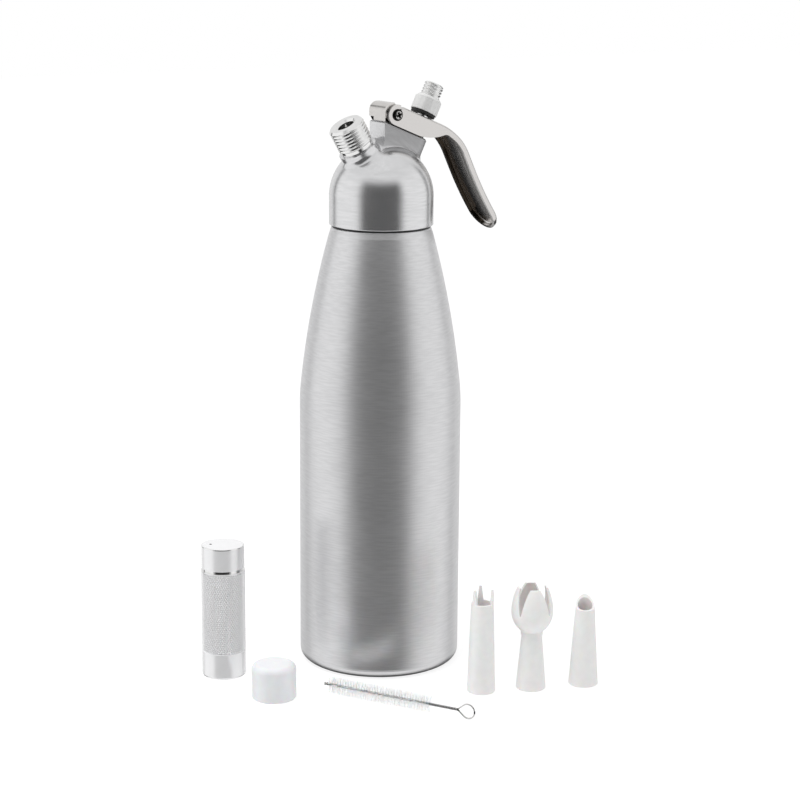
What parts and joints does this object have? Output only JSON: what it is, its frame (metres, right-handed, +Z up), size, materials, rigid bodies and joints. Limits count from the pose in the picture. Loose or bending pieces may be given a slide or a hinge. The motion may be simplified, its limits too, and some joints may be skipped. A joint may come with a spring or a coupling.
{
  "type": "whipped cream dispenser",
  "caption": "Whipped cream dispenser: tall tapered bottle, domed head with a side lever valve and an angled charger inlet, with holder, cap, decorating tips and brush.",
  "frame": {"origin": "centre of the bottle's foot, on the floor it stands on", "axes": "+Z up the bottle's axis; +X towards the side the lever reaches out to; the XZ plane is the head's plane of symmetry"},
  "size_m": [0.1792, 0.1622, 0.3254],
  "materials": {
    "brushed_bottle": "brushed round the axis, satin",
    "satin_head": "satin, turned",
    "bright_plate": "bright",
    "plain_steel": "plain",
    "polished_steel": "polished",
    "valve_brass": "turned",
    "black_rubber": "matt",
    "blasted_alloy": "bead-blasted",
    "polished_alloy": "polished, knurled grip",
    "white_gloss": "gloss",
    "white_satin": "satin",
    "twisted_wire": "plain",
    "nylon_bristle": "translucent"
  },
  "bodies": {
    "bottle": {"bottle": "brushed_bottle", "neck_ring": "black_rubber"},
    "head": {"head": "satin_head", "head_gasket": "black_rubber", "charger_inlet": "bright_plate", "inlet_gasket": "black_rubber", "piercing_pin": "plain_steel", "check_valve": "black_rubber", "inlet_nut": "plain_steel", "hinge_block": "polished_steel", "hinge_bolt": "plain_steel", "pivot_screw": "plain_steel", "pivot_nut": "plain_steel", "valve_guide": "valve_brass", "stem_ring_lower": "black_rubber", "stem_ring_upper": "black_rubber", "valve_spring": "plain_steel"},
    "lever": {"lever": "polished_steel"},
    "valve": {"valve_stem": "plain_steel", "valve_seal": "black_rubber", "tip_adaptor": "blasted_alloy", "adaptor_gasket": "black_rubber", "nut_seal": "black_rubber"},
    "charger_holder": {"charger_holder": "polished_alloy"},
    "protective_cap": {"protective_cap": "white_gloss"},
    "tip_prongs": {"tip_prongs": "white_satin"},
    "tip_tulip": {"tip_tulip": "white_satin"},
    "tip_plain": {"tip_plain": "white_satin"},
    "brush": {"brush_wire": "twisted_wire", "brush_bristles": "nylon_bristle"}
  },
  "joints": [
    {"name": "head_lift", "type": "slide", "parent": "bottle", "child": "head", "axis": [0, 0, 1], "range_m": [0, 0.06]},
    {"name": "lever_pivot", "type": "hinge", "parent": "head", "child": "lever", "pos_m": [0.0041, 0, 0.3086], "axis": [0, 1, 0], "range_deg": [0, 7], "stiffness_Nm_per_rad": 2.2, "springref_deg": -4.58},
    {"name": "valve_slide", "type": "slide", "parent": "head", "child": "valve", "axis": [0.4431, 0, 0.8965], "range_m": [-0.0027, 0], "deforming": ["valve_spring"]},
    {"name": "holder_lift", "type": "slide", "parent": "bottle", "child": "charger_holder", "axis": [0, 0, 1], "range_m": [0, 0.12]},
    {"name": "cap_lift", "type": "slide", "parent": "bottle", "child": "protective_cap", "axis": [0, 0, 1], "range_m": [0, 0.12]},
    {"name": "prongs_lift", "type": "slide", "parent": "bottle", "child": "tip_prongs", "axis": [0, 0, 1], "range_m": [0, 0.12]},
    {"name": "tulip_lift", "type": "slide", "parent": "bottle", "child": "tip_tulip", "axis": [0, 0, 1], "range_m": [0, 0.12]},
    {"name": "plain_lift", "type": "slide", "parent": "bottle", "child": "tip_plain", "axis": [0, 0, 1], "range_m": [0, 0.12]},
    {"name": "brush_lift", "type": "slide", "parent": "bottle", "child": "brush", "axis": [0, 0, 1], "range_m": [0, 0.12]}
  ],
  "couplings": [
    {"joint": "valve_slide", "follows": "lever_pivot", "m_per_rad": -0.02105}
  ]
}
